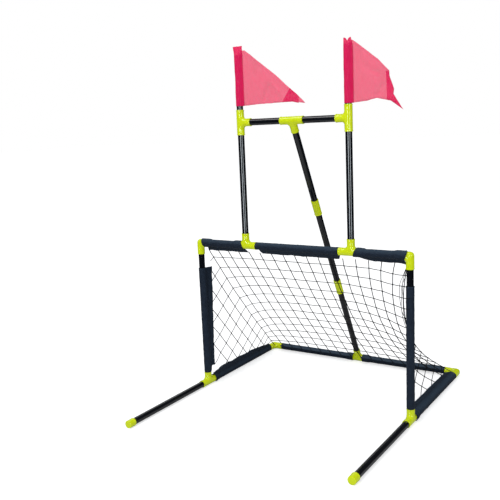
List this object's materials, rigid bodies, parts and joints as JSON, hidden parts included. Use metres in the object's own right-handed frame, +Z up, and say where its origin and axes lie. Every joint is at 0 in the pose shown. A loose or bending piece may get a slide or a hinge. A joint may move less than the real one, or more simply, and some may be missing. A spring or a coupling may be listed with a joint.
{
  "type": "knock-down goal with net and uprights",
  "caption": "Children's knock-down goal of push-fit black tubes and lime fittings, with a net held in cloth sleeves, tall uprights, a rear brace and pink flags.",
  "frame": {"origin": "centre of the bounding box on the floor, between the feet and the rear ground tubes", "axes": "+Z up; +X to the right seen from in front of the goal mouth; +Y from the mouth to the back"},
  "size_m": [1.054, 1.218, 1.5583],
  "materials": {
    "black_tube": "glossy black extruded tube",
    "lime_fitting": "glossy lime moulded plastic",
    "dark_sleeve_cloth": "matt dark navy woven cloth",
    "net_cord": "knotted dark grey cord",
    "pink_flag_cloth": "thin translucent pink-red cloth"
  },
  "bodies": {
    "goal_frame": {"back_net": "net_cord", "brace_lower_coupler": "lime_fitting", "brace_lower_tube": "black_tube", "brace_middle_tube": "black_tube", "brace_upper_coupler": "lime_fitting", "brace_upper_tube": "black_tube", "crossbar_left_sleeve": "dark_sleeve_cloth", "crossbar_left_tube": "black_tube", "crossbar_middle_sleeve": "dark_sleeve_cloth", "crossbar_middle_tube": "black_tube", "crossbar_right_sleeve": "dark_sleeve_cloth", "crossbar_right_tube": "black_tube", "left_base_tee": "lime_fitting", "left_crossbar_tee": "lime_fitting", "left_post_sleeve": "dark_sleeve_cloth", "left_post_tube": "black_tube", "left_rear_elbow": "lime_fitting", "left_rear_ground_tube": "black_tube", "left_rear_sleeve": "dark_sleeve_cloth", "left_side_ground_tube": "black_tube", "left_side_net": "net_cord", "left_side_sleeve": "dark_sleeve_cloth", "left_top_elbow": "lime_fitting", "left_upper_tee": "lime_fitting", "left_upright_tube": "black_tube", "middle_upper_tee": "lime_fitting", "rear_ground_tee": "lime_fitting", "right_base_tee": "lime_fitting", "right_crossbar_tee": "lime_fitting", "right_post_sleeve": "dark_sleeve_cloth", "right_post_tube": "black_tube", "right_rear_elbow": "lime_fitting", "right_rear_ground_tube": "black_tube", "right_rear_sleeve": "dark_sleeve_cloth", "right_side_ground_tube": "black_tube", "right_side_net": "net_cord", "right_side_sleeve": "dark_sleeve_cloth", "right_top_elbow": "lime_fitting", "right_upper_tee": "lime_fitting", "right_upright_tube": "black_tube", "upper_bar_left_tube": "black_tube", "upper_bar_right_tube": "black_tube"},
    "left_foot": {"left_foot_tube": "black_tube"},
    "right_foot": {"right_foot_tube": "black_tube"},
    "left_cap": {"left_foot_cap": "lime_fitting"},
    "right_cap": {"right_foot_cap": "lime_fitting"},
    "left_pole": {"left_flag_pole": "black_tube"},
    "right_pole": {"right_flag_pole": "black_tube"},
    "left_pennant": {"left_flag": "pink_flag_cloth"},
    "right_pennant": {"right_flag": "pink_flag_cloth"}
  },
  "joints": [
    {"name": "left_foot_pull", "type": "slide", "parent": "goal_frame", "child": "left_foot", "axis": [0, -1, 0], "range_m": [0, 0.045]},
    {"name": "left_foot_cap_pull", "type": "slide", "parent": "left_foot", "child": "left_cap", "axis": [0, -1, 0], "range_m": [0, 0.035]},
    {"name": "left_flag_pole_lift", "type": "slide", "parent": "goal_frame", "child": "left_pole", "axis": [0, 0, 1], "range_m": [0, 0.045]},
    {"name": "left_flag_swivel", "type": "hinge", "parent": "left_pole", "child": "left_pennant", "pos_m": [-0.2565, -0.034, 1.4], "axis": [0, 0, 1], "continuous": true},
    {"name": "right_foot_pull", "type": "slide", "parent": "goal_frame", "child": "right_foot", "axis": [0, -1, 0], "range_m": [0, 0.045]},
    {"name": "right_foot_cap_pull", "type": "slide", "parent": "right_foot", "child": "right_cap", "axis": [0, -1, 0], "range_m": [0, 0.035]},
    {"name": "right_flag_pole_lift", "type": "slide", "parent": "goal_frame", "child": "right_pole", "axis": [0, 0, 1], "range_m": [0, 0.045]},
    {"name": "right_flag_swivel", "type": "hinge", "parent": "right_pole", "child": "right_pennant", "pos_m": [0.2565, -0.034, 1.4], "axis": [0, 0, 1], "continuous": true}
  ]
}
